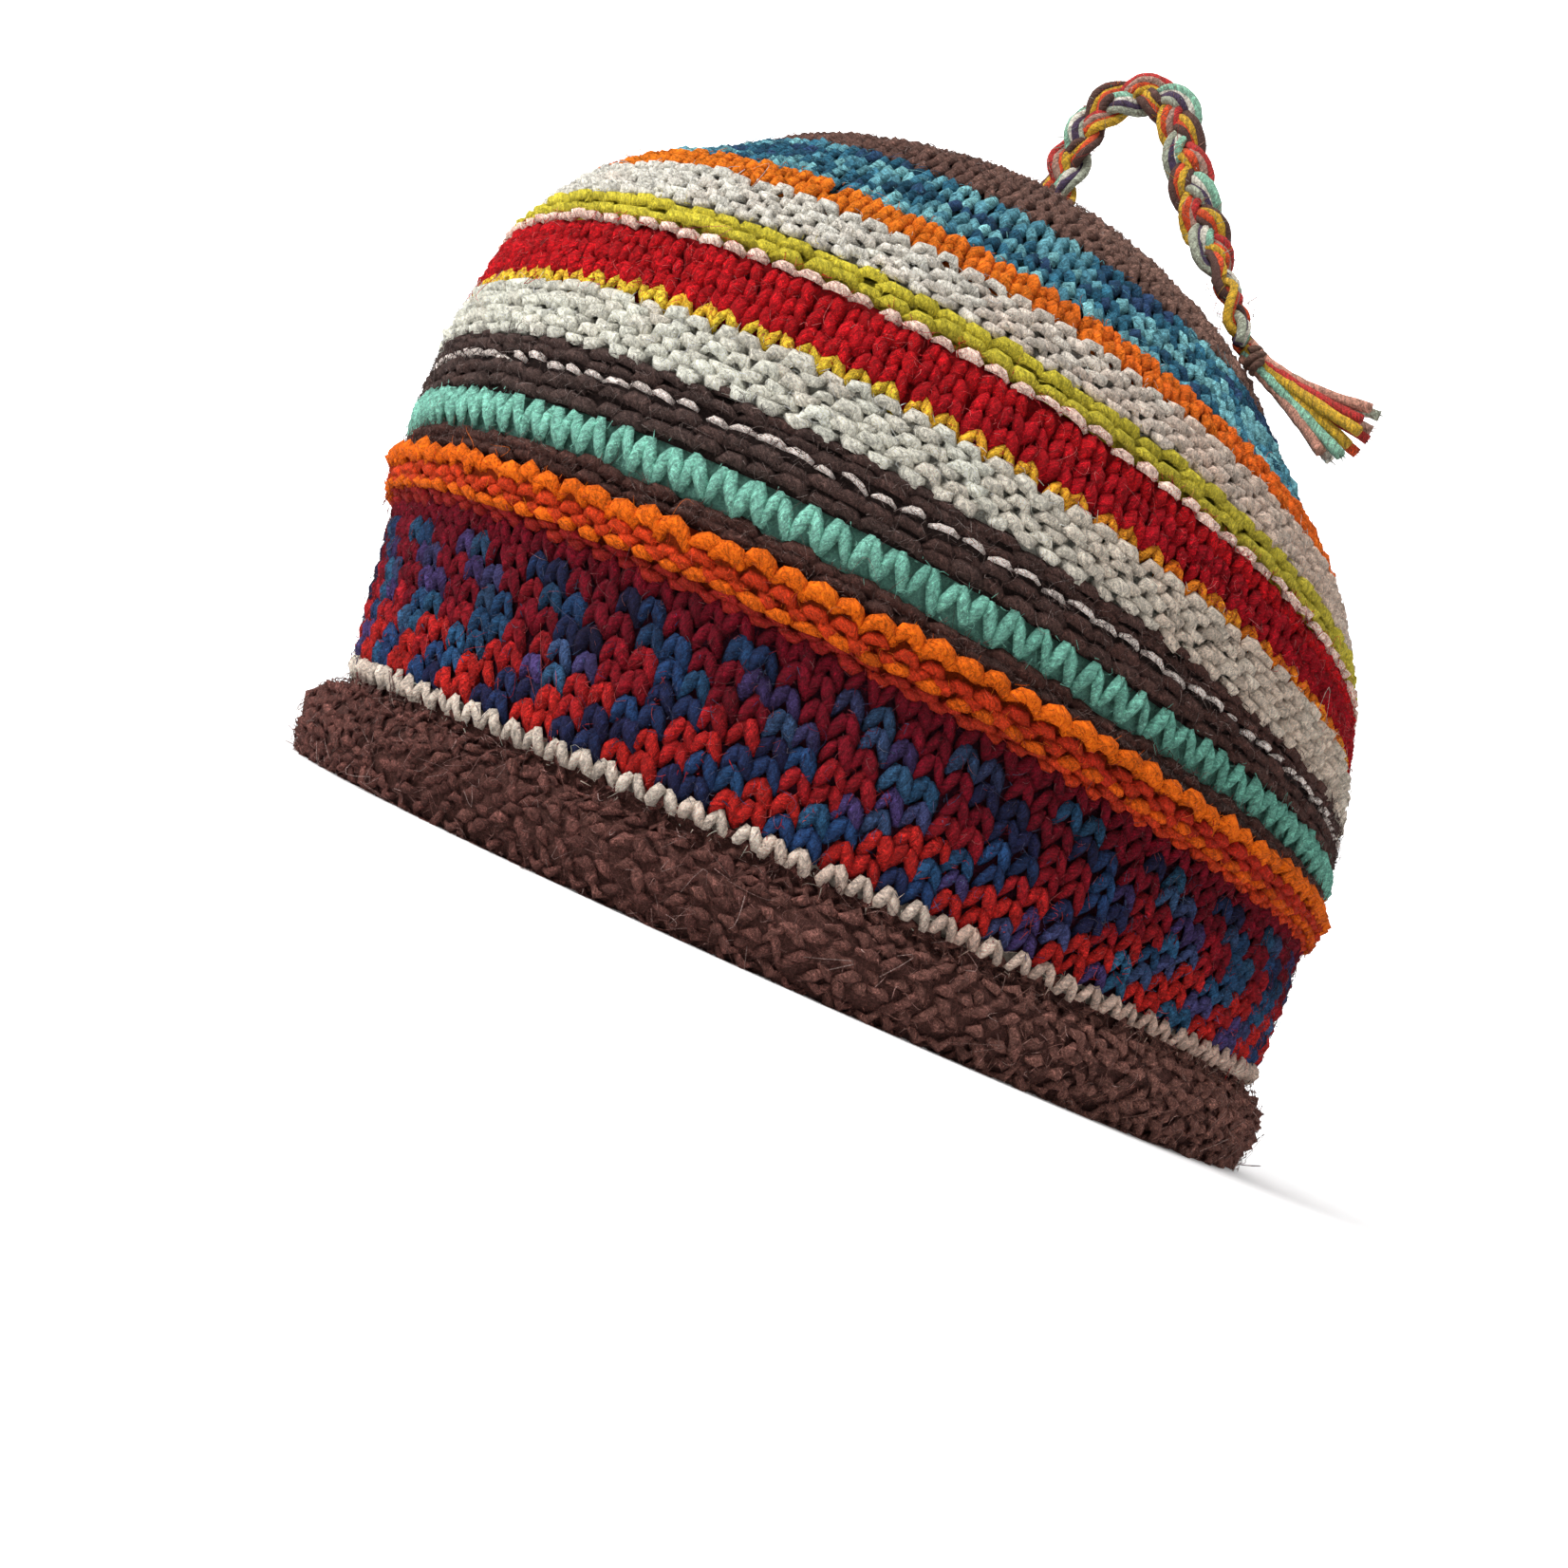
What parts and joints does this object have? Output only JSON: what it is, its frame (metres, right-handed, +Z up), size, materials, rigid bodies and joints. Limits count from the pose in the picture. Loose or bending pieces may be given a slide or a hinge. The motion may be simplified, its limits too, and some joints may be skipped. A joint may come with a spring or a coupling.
{
  "type": "knitted beanie",
  "caption": "Tall knitted wool beanie with a rolled brim, striped and patterned rounds, a plaited loop at the apex and a yarn tassel.",
  "frame": {"origin": "centre of the bounding box in plan, on the plane the rolled brim rests on", "axes": "+Z up through the crown, -Y towards the wearer's front, +X towards the wearer's left, where the tassel hangs"},
  "size_m": [0.2024, 0.2304, 0.213],
  "materials": {
    "brim_wool": "fuzzy brown stockinette, curled",
    "edge_wool": "pale knitted wool",
    "pattern_wool": "stranded red and blue knitted wool",
    "ridge_orange_wool": "garter-stitch wool",
    "band_brown_wool": "knitted wool",
    "mint_wool": "knitted wool",
    "dash_brown_wool": "knitted wool with a pale dash round",
    "cream_wool": "purl-ridged wool",
    "red_wool": "fuzzy knitted wool",
    "mustard_wool": "knitted wool",
    "beige_wool": "purl-ridged wool",
    "orange_wool": "knitted wool",
    "blue_wool": "mottled blue and aqua knitted wool",
    "crown_wool": "fuzzy brown knitted wool",
    "plait_yarn": "three-strand plait of mixed yarns",
    "tassel_yarn": "loose mixed wool yarns"
  },
  "bodies": {
    "root": {"rolled_brim": "brim_wool", "edge_round": "edge_wool", "patterned_band": "pattern_wool", "orange_ridge": "ridge_orange_wool", "lower_brown_band": "band_brown_wool", "mint_band": "mint_wool", "upper_brown_band": "dash_brown_wool", "cream_ridge_band": "cream_wool", "red_band": "red_wool", "mustard_band": "mustard_wool", "beige_ridge_band": "beige_wool", "orange_band": "orange_wool", "blue_band": "blue_wool", "crown_top": "crown_wool", "braid_loop": "plait_yarn", "tassel": "tassel_yarn"}
  },
  "joints": []
}
